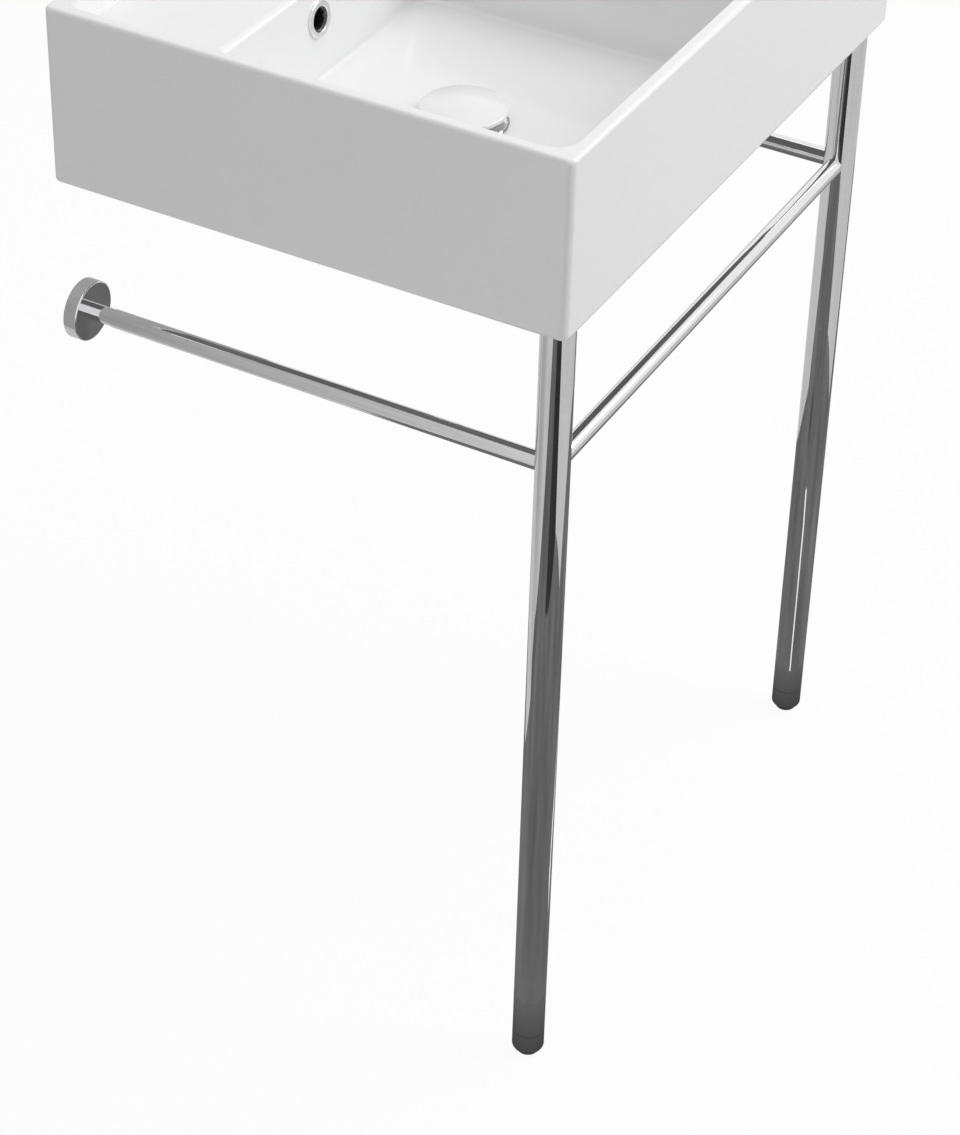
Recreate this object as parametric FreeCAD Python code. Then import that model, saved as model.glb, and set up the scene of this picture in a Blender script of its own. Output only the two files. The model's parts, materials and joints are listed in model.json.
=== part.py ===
"""Console sink: a ceramic basin with an off-centre bowl, two front legs, rails and wall rosettes.

Units are millimetres. +X is to the right of a person who faces the wall, +Y goes into the wall and
+Z is up. The origin lies on the wall plane, midway between the two bolts that hang the basin.
"""

import FreeCAD, Part
import math
import os

V = FreeCAD.Vector
UP, DOWN = V(0, 0, 1), V(0, 0, -1)
RIGHT, TO_WALL, TO_ROOM = V(1, 0, 0), V(0, 1, 0), V(0, -1, 0)

# ---- driving dimensions: overall -------------------------------------------------------------
overall_width = 600.0
overall_depth = 457.0
overall_height = 914.0
basin_height = 154.0
bolt_below_rim = 80.0
bolt_spacing = 280.0

# ---- driving dimensions: ceramic -------------------------------------------------------------
rim_wall = 10.0
rim_round = 4.0
upright_round = 6.5
skirt_round = 4.0
wall_draft = 5.3             # degrees, every wall inside the rim
inner_corner_round = 20.0
ledge_drop = 29.0            # rim to ledge
ledge_depth = 127.0          # wall to the bowl's rear edge, at ledge level
counter_width = 243.0        # right face to the bowl's right edge, at ledge level
ledge_edge_round = 6.0
bowl_corner_round = 24.0
bowl_corner_reach = 3.0      # how far a bowl corner's arc runs on behind the wall that it meets
bowl_depth = 77.0            # ledge to the foot of the bowl's walls
bowl_foot_round = 5.5
floor_fall = 8.0             # foot of the walls to the drain
ceramic_wall = 12.0
drain_x = -110.0
drain_y = -264.0
drain_hole_r = 23.0
drain_seat_r = 36.5
drain_seat_depth = 3.0
drain_boss_r = 44.0
tap_hole_r = 17.5
tap_hole_from_wall = 67.0
overflow_drop = 31.0         # ledge to the ring's centre, along the bowl's rear wall
overflow_hole_r = 12.0
duct_width = 28.0
duct_depth = 13.0
duct_wall = 9.0
duct_front_wall = 10.0       # ledge level: bowl to duct
leg_boss_side = 54.0
leg_boss_height = 54.0
underside_step = 3.0         # basin's bottom edge to the lowest part of its underside
socket_hole_r = 7.0
socket_hole_depth = 30.0
bolt_hole_r = 7.0
bolt_pad_r = 22.0
bolt_pad_height = 4.0

# ---- driving dimensions: stand ---------------------------------------------------------------
leg_r = 14.0
leg_wall = 1.5
leg_inset_side = 28.0        # basin's side to the leg's axis
leg_inset_front = 20.5       # basin's front to the leg's axis
leg_washer_thickness = 2.0
rail_r = 7.75
rail_wall = 1.2
rail_below_basin = 133.0
rail_seat_gap = 0.1          # coped rail end to the leg's surface
top_plug_length = 26.0
joint_block_length = 34.0
rail_plug_length = 22.0
stud_r = 4.0
leg_stud_length = 50.0
rail_stud_r = 3.0
rail_stud_in_block = 8.0
rail_stud_in_plug = 14.0
ferrule_top = 26.0           # above the floor
ferrule_spigot = 18.0
ferrule_round = 4.0
ferrule_bottom = 4.5
joint_chamfer = 0.3
foot_pad_r = 9.6
foot_pad_height = 8.0
foot_stud_r = 5.0
foot_stud_length = 44.0
foot_collar_flats = 14.0
foot_collar_height = 4.0
foot_pad_floor = 2.2

# ---- driving dimensions: wall ends -----------------------------------------------------------
rosette_r = 25.5
rosette_depth = 12.0
rosette_wall = 1.5
rosette_round = 1.2
plate_thickness = 6.0
plate_hole_spacing = 28.0
plate_hole_r = 2.5
neck_r = 7.2
neck_showing = 21.0
spigot_in_rail = 22.0
spigot_screw_r = 2.5
spigot_screw_length = 21.0
spigot_screw_head_r = 5.0
spigot_screw_head = 2.5
set_screw_r = 2.0
set_screw_length = 7.0

# ---- driving dimensions: waste and overflow fittings -----------------------------------------
gasket_thickness = 1.0
flange_r = 35.0
flange_thickness = 3.0
hub_r = 22.5
hub_length = 8.0
waste_tube_r = 20.8
waste_tube_bore_r = 17.5
waste_tube_length = 72.0
plug_bore_r = 20.5
plug_bore_depth = 5.5
window_height = 10.0
window_width = 16.0
spider_thickness = 6.0
spider_arm = 5.0
cartridge_r = 7.0
cartridge_length = 26.0
cartridge_floor = 1.5
gland_length = 5.0
plunger_r = 4.0
plunger_head_r = 5.2
plunger_head_length = 3.0
spring_wire_r = 0.4
spring_turns = 6
cap_r = 36.0
cap_thickness = 10.0
cap_rim_thickness = 5.0
cap_lift = 8.0               # flange's top to the cap's underside, open
cap_travel = 7.5
carrier_r = 20.0
carrier_thickness = 3.2
carrier_hub_r = 6.0
carrier_hub_below = 9.0      # cap's underside to the bottom of the carrier's hub
carrier_stud_r = 5.0
carrier_stud_length = 5.0
seal_thickness = 2.5
waste_washer_r = 31.0
waste_washer_thickness = 6.0
backnut_across_flats = 58.0
backnut_thickness = 10.0
tailpiece_r = 16.0           # 1 1/4 inch outlet
tailpiece_wall = 1.6
tailpiece_length = 82.0
tailpiece_socket = 12.0
tailpiece_collar = 3.0
tailpiece_washer_thickness = 1.5
ring_r = 15.5
ring_bore_r = 10.6
ring_thickness = 2.2
ring_sleeve_r = 11.4
ring_sleeve_length = 8.0
clip_r_inside = 8.7
clip_leg_width = 4.4
clip_nose = 1.5
clip_barb_r = 13.0
clip_barb_length = 1.5
clip_ring_length = 6.0

# ---- named clearances ------------------------------------------------------------------------
press_gap = 0.02             # parts pressed or glued together
screw_gap = 0.05             # threads, drawn as plain cylinders
slide_gap = 0.1              # guided moving parts
loose_gap = 0.5              # bolts in clearance holes
travel_gap = 0.3             # moving parts near fixed ones

# ---- fixings in the wall ---------------------------------------------------------------------
wall_bolt_r = 5.0
wall_bolt_in_wall = 60.0
wall_bolt_in_room = 36.0
wall_bolt_neck_r = 4.4
wall_bolt_neck = 2.0
bolt_washer_r = 14.0
bolt_washer_thickness = 2.0
bolt_nut_across_flats = 17.0
bolt_nut_thickness = 8.0
sleeve_flange_r = 10.0
sleeve_flange = 1.5

# ---- levels and places worked out from the dimensions ----------------------------------------
rim_top = bolt_below_rim
floor = rim_top - overall_height
basin_bottom = rim_top - basin_height
ledge = rim_top - ledge_drop
bowl_foot = ledge - bowl_depth
bowl_low = bowl_foot - floor_fall
bowl_under = bowl_low - ceramic_wall
half_width = overall_width / 2
draft = math.tan(math.radians(wall_draft))
leg_x = half_width - leg_inset_side
leg_y = -(overall_depth - leg_inset_front)
rail_z = basin_bottom - rail_below_basin
leg_top = basin_bottom - leg_washer_thickness
bowl_rear = -ledge_depth
bowl_right = half_width - counter_width
duct_front = bowl_rear + duct_front_wall
duct_rear = duct_front + duct_depth
drain_boss_bottom = basin_bottom + underside_step
duct_low = drain_boss_bottom + duct_wall
gasket_top = bowl_low - drain_seat_depth + gasket_thickness
flange_top = gasket_top + flange_thickness
hub_bottom = gasket_top - hub_length
waste_bottom = gasket_top - waste_tube_length
cap_under = flange_top + cap_lift
carrier_under = cap_under - carrier_thickness
cartridge_top = cap_under - cap_travel - carrier_hub_below - 2 * travel_gap
gland_under = cartridge_top - gland_length
plunger_head_top = gland_under - travel_gap
spring_top = plunger_head_top - plunger_head_length - press_gap
spring_low = cartridge_top - cartridge_length + cartridge_floor + press_gap
washer_under = drain_boss_bottom - waste_washer_thickness
collar_top = waste_bottom - tailpiece_washer_thickness
rail_bore_r = rail_r - rail_wall
leg_bore_r = leg_r - leg_wall
leg_low = floor + ferrule_top
neck_front = -(rosette_depth + neck_showing)
sleeve_front = -(ceramic_wall + bolt_pad_height)
SIDES = {"left": -1, "right": 1}


# ---- helpers ---------------------------------------------------------------------------------
def save(name, shape):
    """Writes one node after checking that it is valid."""
    if not shape.isValid():
        raise ValueError(name + " is not a valid shape")
    print("%-22s solids %d  volume %10.1f" % (name, len(shape.Solids), shape.Volume))
    shape.exportStep("parts/%s.step" % name)


def rounded_outline(x0, x1, y0, y1, z, r):
    """A closed rectangle in a level plane, with arcs of radius r at its corners."""
    s = r * (1 - math.sqrt(0.5))
    corners = [(x1, y0, 1, -1), (x1, y1, 1, 1), (x0, y1, -1, 1), (x0, y0, -1, -1)]
    ends = [
        (V(x1 - r, y0, z), V(x1, y0 + r, z)),
        (V(x1, y1 - r, z), V(x1 - r, y1, z)),
        (V(x0 + r, y1, z), V(x0, y1 - r, z)),
        (V(x0, y0 + r, z), V(x0 + r, y0, z)),
    ]
    edges = []
    for i in range(4):
        cx, cy, sx, sy = corners[i]
        middle = V(cx - sx * s, cy - sy * s, z)
        edges.append(Part.Arc(ends[i][0], middle, ends[i][1]).toShape())
        edges.append(Part.LineSegment(ends[i][1], ends[(i + 1) % 4][0]).toShape())
    return Part.Wire(edges)


def rounded_prism(x0, x1, y0, y1, z0, z1, r):
    """An upright block with rounded upright edges."""
    return Part.Face(rounded_outline(x0, x1, y0, y1, z0, r)).extrude(V(0, 0, z1 - z0))


def block(x0, x1, y0, y1, z0, z1):
    """A plain block between two corners."""
    return Part.makeBox(x1 - x0, y1 - y0, z1 - z0, V(x0, y0, z0))


def rod(start, direction, length, r):
    """A cylinder from a start point along a direction."""
    return Part.makeCylinder(r, length, start, direction)


def pipe(start, direction, length, r, bore):
    """A cylinder with a bore right through."""
    return rod(start, direction, length, r).cut(rod(start, direction, length, bore))


def turned(points, centre, arcs=()):
    """A solid of revolution about an upright axis: points are (radius, height) round its section.

    arcs holds (index, radius, height): the side after that point bows through the given place.
    """
    bows = {i: V(r, 0, z) for i, r, z in arcs}
    corners = [V(r, 0, z) for r, z in points]
    edges = []
    for i, a in enumerate(corners):
        b = corners[(i + 1) % len(corners)]
        edges.append(Part.Arc(a, bows[i], b).toShape() if i in bows else Part.LineSegment(a, b).toShape())
    solid = Part.Face(Part.Wire(edges)).revolve(V(0, 0, 0), UP, 360)
    solid.translate(centre)
    return solid


def hexagon(centre, direction, thickness, across_flats):
    """A nut's body: a hexagonal prism from its centre along a direction."""
    r = across_flats / math.sqrt(3)
    corners = [V(r * math.cos(math.pi * i / 3), r * math.sin(math.pi * i / 3), 0) for i in range(7)]
    prism = Part.Face(Part.makePolygon(corners)).extrude(V(0, 0, thickness))
    prism.Placement = FreeCAD.Placement(centre, FreeCAD.Rotation(UP, direction))
    return prism


def level_edges(shape, z, inside=None):
    """Edges that lie in a level plane, kept if inside(the edge's middle) says so."""
    found = []
    for edge in shape.Edges:
        box = edge.BoundBox
        middle = edge.valueAt((edge.FirstParameter + edge.LastParameter) / 2)
        if abs(box.ZMin - z) < 1e-3 and abs(box.ZMax - z) < 1e-3 and (inside is None or inside(middle)):
            found.append(edge)
    return found


# ---- ceramic basin ---------------------------------------------------------------------------
def rim_inside(z):
    """Corners of the rim's inner outline at a height: every wall leans out upwards by the draft."""
    lean = (rim_top - z) * draft
    x = half_width - rim_wall - lean
    return -x, x, -(overall_depth - rim_wall - lean), -(rim_wall + lean)


def bowl_inside(z):
    """Corners of the bowl's outline at a height: the rim's left and front walls run on down."""
    lean = (ledge - z) * draft
    x0, _, y0, _ = rim_inside(z)
    return x0, bowl_right - lean, y0, bowl_rear - lean


def drafted_well(corners, z_top, z_low, r):
    """A well with leaning walls: corners(z) gives its rounded outline at each height."""
    outlines = [rounded_outline(*corners(z), z, r) for z in (z_top, z_low)]
    return Part.makeLoft(outlines, True, True)


def floor_cone():
    """What lies under the bowl's floor, which falls from the furthest corner to the drain."""
    x0, x1, y0, y1 = bowl_inside(bowl_foot)
    reach = math.hypot(max(x1 - drain_x, drain_x - x0), max(y1 - drain_y, drain_y - y0))
    slope = floor_fall / (reach - drain_seat_r)
    wide = 2 * reach
    rim_z = bowl_low + slope * (wide - drain_seat_r)
    section = [(0, bowl_under), (wide, bowl_under), (wide, rim_z), (drain_seat_r, bowl_low), (0, bowl_low)]
    return turned(section, V(drain_x, drain_y, 0))


def basin_hollow():
    """All that is open from above: the recess inside the rim and the bowl, with rounded edges."""
    above, below = 20.0, 4.0
    low = bowl_low - below

    def past_walls(z):
        x0, x1, y0, y1 = bowl_inside(z)
        return x0 - bowl_corner_reach, x1, y0 - bowl_corner_reach, y1

    well = drafted_well(rim_inside, rim_top + above, low, inner_corner_round)
    bowl = drafted_well(past_walls, ledge + above, low - 1, bowl_corner_round)
    shelf = block(-overall_width, overall_width, -overall_width, overall_width, low - below, ledge)
    hollow = well.cut(shelf.cut(bowl)).cut(floor_cone()).removeSplitter()

    x0, x1, y0, y1 = bowl_inside(ledge)
    near = 0.4
    brink = level_edges(hollow, ledge, lambda m: x0 + near < m.x < x1 + near and y0 + near < m.y < y1 + near)
    hollow = hollow.makeFillet(ledge_edge_round, brink)
    foot = [
        edge for edge in hollow.Edges
        if edge.BoundBox.ZMin > bowl_low + 1 and edge.BoundBox.ZMax < bowl_foot + bowl_foot_round
        and edge.BoundBox.ZLength < 5
        and abs(edge.BoundBox.YMin - drain_y) + edge.BoundBox.YLength > 1
    ]
    return hollow.makeFillet(bowl_foot_round, foot)


def tilted(shape):
    """Turns a fitting made along -Y so that it stands square on the bowl's leaning rear wall."""
    shape.rotate(V(0, 0, 0), RIGHT, -wall_draft)
    shape.translate(overflow_place())
    return shape


def overflow_place():
    """Centre of the overflow's hole on the bowl's rear wall."""
    z = ledge - overflow_drop
    return V(drain_x, bowl_rear - (ledge - z) * draft, z)


def ceramic_basin():
    body = rounded_prism(-half_width, half_width, -overall_depth, 0, basin_bottom, rim_top, upright_round)
    body = body.makeFillet(rim_round, level_edges(body, rim_top))
    body = body.makeFillet(skirt_round, level_edges(body, basin_bottom))
    body = body.cut(basin_hollow())

    inner_x = half_width - ceramic_wall
    inner_front = -(overall_depth - ceramic_wall)
    under = rounded_prism(-inner_x, inner_x, inner_front, -ceramic_wall, basin_bottom - 1,
                          ledge - ceramic_wall, upright_round)
    bowl_shell = rounded_prism(-overall_width, bowl_right + ceramic_wall, -overall_width,
                               bowl_rear + ceramic_wall, bowl_under, rim_top, bowl_corner_round)
    under = under.cut(bowl_shell)
    for side in SIDES.values():
        x0, x1 = sorted((side * overall_width, side * (half_width - leg_boss_side)))
        boss = rounded_prism(x0, x1, -overall_width, -(overall_depth - leg_boss_side),
                             basin_bottom - 2, basin_bottom + leg_boss_height, upright_round)
        under = under.cut(boss)
        pad = rod(V(side * bolt_spacing / 2, 0, 0), TO_ROOM, ceramic_wall + bolt_pad_height, bolt_pad_r)
        under = under.cut(pad)
    duct_half = duct_width / 2 + duct_wall
    duct_block = block(drain_x - duct_half, drain_x + duct_half, duct_front - 5, duct_rear + duct_wall,
                       duct_low - duct_wall, ledge)
    run_block = block(drain_x - duct_half, drain_x + duct_half, drain_y, duct_rear + duct_wall,
                      duct_low - duct_wall, bowl_under + 1)
    drain_boss = rod(V(drain_x, drain_y, drain_boss_bottom), UP, bowl_low - drain_boss_bottom, drain_boss_r)
    under = under.cut(duct_block).cut(run_block).cut(drain_boss)
    body = body.cut(under)

    duct = block(drain_x - duct_width / 2, drain_x + duct_width / 2, duct_front, duct_rear,
                 duct_low, ledge - ceramic_wall)
    run = block(drain_x - duct_width / 2, drain_x + duct_width / 2, drain_y, duct_rear,
                duct_low, duct_low + duct_depth)
    body = body.cut(duct).cut(run)
    hole_length = (duct_rear - bowl_rear) + duct_front_wall
    body = body.cut(tilted(rod(V(0, -duct_front_wall, 0), TO_WALL, hole_length, overflow_hole_r)))
    seat = V(drain_x, drain_y, bowl_low - drain_seat_depth)
    body = body.cut(rod(seat, UP, drain_seat_depth + 1, drain_seat_r))
    body = body.cut(rod(seat + V(0, 0, 1), DOWN, bowl_low - drain_boss_bottom + 1, drain_hole_r))
    body = body.cut(rod(V(drain_x, -tap_hole_from_wall, ledge + 1), DOWN, ceramic_wall + 2, tap_hole_r))
    for side in SIDES.values():
        body = body.cut(rod(V(side * bolt_spacing / 2, 1, 0), TO_ROOM,
                            ceramic_wall + bolt_pad_height + 2, bolt_hole_r))
        body = body.cut(rod(V(side * leg_x, leg_y, basin_bottom - 1), UP, socket_hole_depth + 1, socket_hole_r))
    return body.removeSplitter()


# ---- overflow --------------------------------------------------------------------------------
def overflow_ring():
    ring = pipe(V(0, 0, 0), TO_ROOM, ring_thickness, ring_r, ring_bore_r)
    ring = ring.makeFillet(ring_thickness / 3, [e for e in ring.Edges if e.BoundBox.YMax < -ring_thickness / 2])
    sleeve = pipe(V(0, 0, 0), TO_WALL, ring_sleeve_length, ring_sleeve_r, ring_bore_r)
    ring = ring.fuse(sleeve).removeSplitter()
    ring.translate(V(0, -press_gap, 0))
    return tilted(ring)


def overflow_clip():
    """A plastic tube in the ring; two legs run on and hook behind the duct's front wall."""
    half = clip_leg_width / 2
    wall_end = (duct_front - overflow_place().y) / math.cos(math.radians(wall_draft))
    leg_end = wall_end + half * draft + slide_gap + clip_barb_length
    r = ring_bore_r - press_gap
    tube = pipe(V(0, 0, 0), TO_WALL, leg_end, r, clip_r_inside)
    keep = block(-r, r, 0, clip_ring_length, -r, r).fuse(block(-r, r, 0, leg_end, -half, half))
    clip = tube.common(keep)
    for side in SIDES.values():
        x0, x1 = sorted((side * (clip_r_inside + 0.5), side * clip_barb_r))
        clip = clip.fuse(block(x0, x1, leg_end - clip_barb_length, leg_end, -half, half))
        x0, x1 = sorted((side * (clip_r_inside - clip_nose), side * (clip_r_inside + 0.5)))
        clip = clip.fuse(block(x0, x1, 0, clip_ring_length / 2, -half / 2, half / 2))
    return tilted(clip.removeSplitter())


# ---- waste -----------------------------------------------------------------------------------
def on_drain(*points, arcs=()):
    """A piece turned about the drain's axis, from (radius, height) points."""
    return turned(points, V(drain_x, drain_y, 0), arcs)


def washer(r, bore, top, thickness):
    return on_drain((bore, top), (r, top), (r, top - thickness), (bore, top - thickness))


def waste_body():
    bore = waste_tube_bore_r
    seat = flange_top - plug_bore_depth
    shell = on_drain(
        (plug_bore_r, flange_top), (flange_r - 1, flange_top), (flange_r, flange_top - 1),
        (flange_r, gasket_top), (hub_r, gasket_top), (hub_r, hub_bottom), (waste_tube_r, hub_bottom),
        (waste_tube_r, waste_bottom), (bore, waste_bottom), (bore, seat), (plug_bore_r, seat))
    hub_ring_r = cartridge_r + 2.5
    spider = washer(hub_ring_r, cartridge_r + press_gap, hub_bottom, spider_thickness)
    for angle in (45, 135, 225, 315):
        arm = block(hub_ring_r - 1, bore + 1, -spider_arm / 2, spider_arm / 2,
                    hub_bottom - spider_thickness, hub_bottom)
        arm.rotate(V(0, 0, 0), UP, angle)
        arm.translate(V(drain_x, drain_y, 0))
        spider = spider.fuse(arm)
    body = shell.fuse(spider)
    for angle in (0, 90):
        window = block(-2 * hub_r, 2 * hub_r, -window_width / 2, window_width / 2,
                       duct_low, duct_low + window_height)
        window = window.cut(rod(V(0, 0, duct_low - 1), UP, window_height + 2, bore - 1))
        window.rotate(V(0, 0, 0), UP, angle)
        window.translate(V(drain_x, drain_y, 0))
        body = body.cut(window)
    return body.removeSplitter()


def waste_backnut():
    nut = hexagon(V(drain_x, drain_y, washer_under), DOWN, backnut_thickness, backnut_across_flats)
    start = V(drain_x, drain_y, washer_under + 1)
    return nut.cut(rod(start, DOWN, backnut_thickness + 2, waste_tube_r + screw_gap))


def waste_tailpiece():
    bore = tailpiece_r - tailpiece_wall
    socket_r = waste_tube_bore_r - screw_gap
    top = waste_bottom + tailpiece_socket
    collar_low = collar_top - tailpiece_collar
    low = top - tailpiece_length
    return on_drain((bore, top), (socket_r, top), (socket_r, collar_top), (waste_tube_r, collar_top),
                    (waste_tube_r, collar_low), (tailpiece_r, collar_low), (tailpiece_r, low), (bore, low))


def click_cartridge():
    low = cartridge_top - cartridge_length
    bore = plunger_head_r + travel_gap
    gland_r = plunger_r + slide_gap
    return on_drain((gland_r, cartridge_top), (cartridge_r, cartridge_top), (cartridge_r, low), (0, low),
                    (0, low + cartridge_floor), (bore, low + cartridge_floor), (bore, gland_under),
                    (gland_r, gland_under))


def click_plunger():
    head_low = plunger_head_top - plunger_head_length
    top = cap_under - carrier_thickness / 2
    return on_drain((0, head_low), (plunger_head_r, head_low), (plunger_head_r, plunger_head_top),
                    (plunger_r, plunger_head_top), (plunger_r, top), (0, top))


def click_spring():
    """A round-wire coil: the wire's section is swept along a helix."""
    coil_r = plunger_head_r - 2 * spring_wire_r
    height = spring_top - spring_low - 2 * spring_wire_r
    helix = Part.makeHelix(height / spring_turns, height, coil_r)
    section = Part.Wire(Part.makeCircle(spring_wire_r, V(coil_r, 0, 0), V(0, 1, 0)))
    coil = Part.Wire(helix.Edges).makePipeShell([section], True, True)
    coil.translate(V(drain_x, drain_y, spring_low + spring_wire_r))
    return coil


def cap_carrier():
    hub_low = cap_under - carrier_hub_below
    bore = plunger_r + screw_gap
    bore_top = cap_under - carrier_thickness / 2 + screw_gap
    top = cap_under - press_gap
    stud_top = cap_under + carrier_stud_length
    return on_drain((bore, hub_low), (carrier_hub_r, hub_low), (carrier_hub_r, carrier_under),
                    (carrier_r, carrier_under), (carrier_r, top), (carrier_stud_r, top),
                    (carrier_stud_r, stud_top), (0, stud_top), (0, bore_top), (bore, bore_top))


def drain_cap():
    """A shallow dome: its edge is a half round and its top is part of a sphere."""
    bore = carrier_stud_r + screw_gap
    bore_top = cap_under + carrier_stud_length + screw_gap
    edge_r = cap_rim_thickness / 2
    edge_top = cap_under + cap_rim_thickness
    crown = cap_under + cap_thickness
    half = cap_r / 2
    rise = crown - edge_top
    sphere_r = ((cap_r - edge_r) ** 2 + rise ** 2) / (2 * rise)
    bow = crown - sphere_r + math.sqrt(sphere_r ** 2 - half ** 2)
    return on_drain((bore, cap_under), (cap_r - edge_r, cap_under), (cap_r - edge_r, edge_top), (0, crown),
                    (0, bore_top), (bore, bore_top),
                    arcs=((1, cap_r, cap_under + edge_r), (2, half, bow)))


# ---- legs and feet ---------------------------------------------------------------------------
def on_leg(side, *points, arcs=()):
    """A piece turned about a leg's axis, from (radius, height) points."""
    return turned(points, V(side * leg_x, leg_y, 0), arcs)


def rail_ways(side):
    """The two directions in which rails leave a leg: along the front, and to the wall."""
    return (V(-side, 0, 0), TO_WALL)


def leg_centre(side):
    return V(side * leg_x, leg_y, rail_z)


def leg_tube(side):
    c = joint_chamfer
    tube = on_leg(side, (leg_bore_r, leg_top), (leg_r - c, leg_top), (leg_r, leg_top - c),
                  (leg_r, leg_low + c), (leg_r - c, leg_low), (leg_bore_r, leg_low))
    for way in rail_ways(side):
        tube = tube.cut(rod(leg_centre(side), way, 2 * leg_r, rail_stud_r + screw_gap))
    return tube


def leg_top_plug(side):
    r = leg_bore_r - press_gap
    low = leg_top - top_plug_length
    bore = stud_r + screw_gap
    return on_leg(side, (bore, leg_top), (r, leg_top), (r, low), (bore, low))


def leg_stud(side):
    low = leg_top - top_plug_length + 2
    return rod(V(side * leg_x, leg_y, low), UP, leg_stud_length, stud_r)


def leg_washer(side):
    bore = stud_r + loose_gap
    return on_leg(side, (bore, basin_bottom), (leg_r, basin_bottom), (leg_r, leg_top), (bore, leg_top))


def leg_socket(side):
    r = socket_hole_r - press_gap
    top = basin_bottom + socket_hole_depth - loose_gap
    bore = stud_r + screw_gap
    stud_top = leg_top - top_plug_length + 2 + leg_stud_length
    return on_leg(side, (bore, basin_bottom), (r, basin_bottom), (r, top), (0, top),
                  (0, stud_top + loose_gap), (bore, stud_top + loose_gap))


def joint_block(side):
    r = leg_bore_r - press_gap
    low, top = rail_z - joint_block_length / 2, rail_z + joint_block_length / 2
    body = on_leg(side, (0, low), (r, low), (r, top), (0, top))
    for way in rail_ways(side):
        start = leg_centre(side) + way * (leg_bore_r - rail_stud_in_block - travel_gap)
        body = body.cut(rod(start, way, leg_r, rail_stud_r + screw_gap))
    return body


def foot_ferrule(side):
    c = joint_chamfer
    bore = foot_stud_r + screw_gap
    spigot_r = leg_bore_r - press_gap
    recess_r = leg_r - ferrule_round
    recess_top = floor + foot_pad_height + slide_gap + foot_collar_height + loose_gap
    low = floor + ferrule_bottom
    bend = ferrule_round * (1 - math.sqrt(0.5))
    top = leg_low + ferrule_spigot
    return on_leg(side, (bore, top), (spigot_r, top), (spigot_r, leg_low), (leg_r - c, leg_low),
                  (leg_r, leg_low - c), (leg_r, low + ferrule_round), (recess_r, low),
                  (recess_r, recess_top), (bore, recess_top),
                  arcs=((5, leg_r - bend, low + bend),))


def foot_pad(side):
    top = floor + foot_pad_height
    bore = foot_stud_r + slide_gap
    edge = 1.0
    return on_leg(side, (0, floor), (foot_pad_r - edge, floor), (foot_pad_r, floor + edge),
                  (foot_pad_r, top), (bore, top), (bore, floor + foot_pad_floor), (0, floor + foot_pad_floor))


def foot_stud(side):
    low = floor + foot_pad_floor + slide_gap
    axis = V(side * leg_x, leg_y, 0)
    collar = hexagon(axis + V(0, 0, floor + foot_pad_height + slide_gap), UP,
                     foot_collar_height, foot_collar_flats)
    return rod(axis + V(0, 0, low), UP, foot_stud_length, foot_stud_r).fuse(collar).removeSplitter()


# ---- rails -----------------------------------------------------------------------------------
def coped(shape, side):
    """Cuts a rail's end to the curve of a leg."""
    seat = rod(V(side * leg_x, leg_y, rail_z - 4 * leg_r), UP, 8 * leg_r, leg_r + rail_seat_gap)
    return shape.cut(seat)


def front_rail():
    rail = pipe(leg_centre(-1), RIGHT, 2 * leg_x, rail_r, rail_bore_r)
    return coped(coped(rail, -1), 1)


def side_rail(side):
    return coped(pipe(leg_centre(side), TO_WALL, neck_front - leg_y, rail_r, rail_bore_r), side)


def rail_end_plug(side, way):
    plug = rod(leg_centre(side), way, leg_r + rail_plug_length, rail_bore_r - press_gap)
    plug = plug.cut(rod(leg_centre(side), way, 2 * leg_r + rail_plug_length, rail_stud_r + screw_gap))
    return coped(plug, side)


def rail_stud(side, way):
    start = leg_centre(side) + way * (leg_bore_r - rail_stud_in_block)
    length = rail_stud_in_block + leg_wall + rail_stud_in_plug
    return rod(start, way, length, rail_stud_r)


def rail_spigot(side):
    """Plugs into the rail, shows as a neck and stands on the wall plate."""
    at = V(side * leg_x, 0, rail_z)
    inner = rod(at + V(0, neck_front, 0), TO_ROOM, spigot_in_rail, rail_bore_r - press_gap)
    neck = rod(at + V(0, neck_front, 0), TO_WALL, -plate_thickness - neck_front, neck_r)
    hole_start = at + V(0, -plate_thickness + 1, 0)
    hole = rod(hole_start, TO_ROOM, spigot_screw_length, spigot_screw_r + screw_gap)
    return inner.fuse(neck).removeSplitter().cut(hole)


# ---- wall ends -------------------------------------------------------------------------------
def rosette_plate(side):
    at = V(side * leg_x, 0, rail_z)
    plate = rod(at, TO_ROOM, plate_thickness, rosette_r - rosette_wall - press_gap)
    for dx in (-plate_hole_spacing / 2, plate_hole_spacing / 2):
        plate = plate.cut(rod(at + V(dx, 1, 0), TO_ROOM, plate_thickness + 2, plate_hole_r))
    plate = plate.cut(rod(at + V(0, 1, 0), TO_ROOM, plate_thickness + 2, spigot_screw_r + screw_gap))
    head_r = spigot_screw_head_r + screw_gap
    plate = plate.cut(rod(at + V(0, 1, 0), TO_ROOM, 1 + spigot_screw_head + screw_gap, head_r))
    start = at + V(0, -plate_thickness / 2, -(rosette_r - set_screw_length - travel_gap))
    return plate.cut(rod(start, DOWN, rosette_r, set_screw_r + screw_gap))


def rosette_cover(side):
    at = V(side * leg_x, 0, rail_z)
    cover = rod(at, TO_ROOM, rosette_depth, rosette_r)
    rim = [edge for edge in cover.Edges if edge.BoundBox.YMax < -rosette_depth / 2]
    cover = cover.makeFillet(rosette_round, rim)
    cover = cover.cut(rod(at + V(0, 1, 0), TO_ROOM, 1 + rosette_depth - rosette_wall, rosette_r - rosette_wall))
    cover = cover.cut(rod(at, TO_ROOM, rosette_depth + 1, neck_r + press_gap))
    return cover.cut(rod(at + V(0, -plate_thickness / 2, 0), DOWN, 2 * rosette_r, set_screw_r + screw_gap))


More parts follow.
